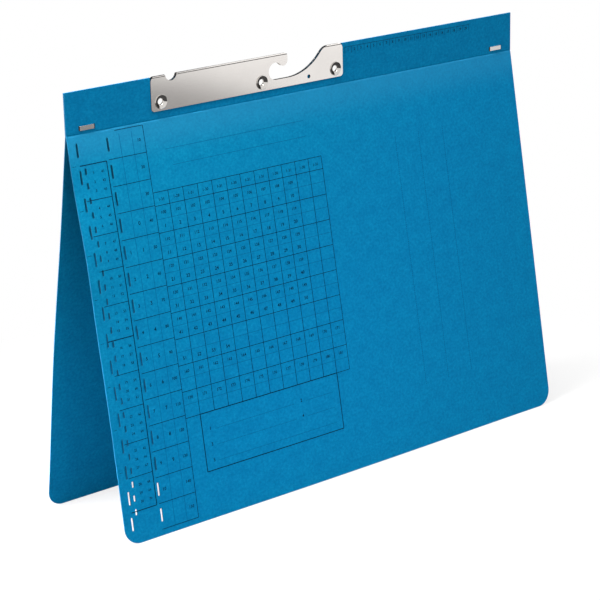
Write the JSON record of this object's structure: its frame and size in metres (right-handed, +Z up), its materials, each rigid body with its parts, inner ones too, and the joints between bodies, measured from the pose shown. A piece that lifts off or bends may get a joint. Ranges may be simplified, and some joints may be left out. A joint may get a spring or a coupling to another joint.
{
  "type": "hanging fastener folder",
  "caption": "Card folder that stands like a tent: two creased covers under an upright strip with a riveted steel hook hanger, tab slits, and a prong fastener inside for punched paper.",
  "frame": {"origin": "on the surface the folder stands on, at the middle of its width and midway between the feet of its two covers", "axes": "+X to the right along the folder's width as its front cover is seen, +Y from the front cover to the back cover, +Z up"},
  "size_m": [0.318, 0.0738, 0.2357],
  "materials": {
    "blue_card": "matte",
    "holder_card": "matte",
    "hanger_steel": "satin",
    "rivet_nickel": "polished",
    "staple_wire": "satin",
    "fastener_steel": "satin"
  },
  "bodies": {
    "spine": {"front_cover_strip": "blue_card", "back_cover_strip": "blue_card", "hanger": "hanger_steel", "rivet_left": "rivet_nickel", "rivet_middle": "rivet_nickel", "rivet_right": "rivet_nickel", "staple_left": "staple_wire", "staple_right": "staple_wire"},
    "front_cover": {"front_cover_panel": "blue_card"},
    "back_cover": {"back_cover_panel": "blue_card", "fastener_tongue": "fastener_steel", "fastener_holder": "holder_card", "fastener_bar": "fastener_steel"},
    "left_lock": {"slide_lock_left": "fastener_steel"},
    "right_lock": {"slide_lock_right": "fastener_steel"}
  },
  "joints": [
    {"name": "front_cover_fold", "type": "hinge", "parent": "spine", "child": "front_cover", "pos_m": [0, -0.00046, 0.21298], "axis": [-1, 0, 0], "range_deg": [-5, 150]},
    {"name": "back_cover_fold", "type": "hinge", "parent": "spine", "child": "back_cover", "pos_m": [0, 0.00046, 0.21298], "axis": [1, 0, 0], "range_deg": [-5, 150]},
    {"name": "left_lock_slide", "type": "slide", "parent": "back_cover", "child": "left_lock", "axis": [-1, 0, 0], "range_m": [-0.015, 0.008]},
    {"name": "right_lock_slide", "type": "slide", "parent": "back_cover", "child": "right_lock", "axis": [1, 0, 0], "range_m": [-0.015, 0.008]}
  ]
}
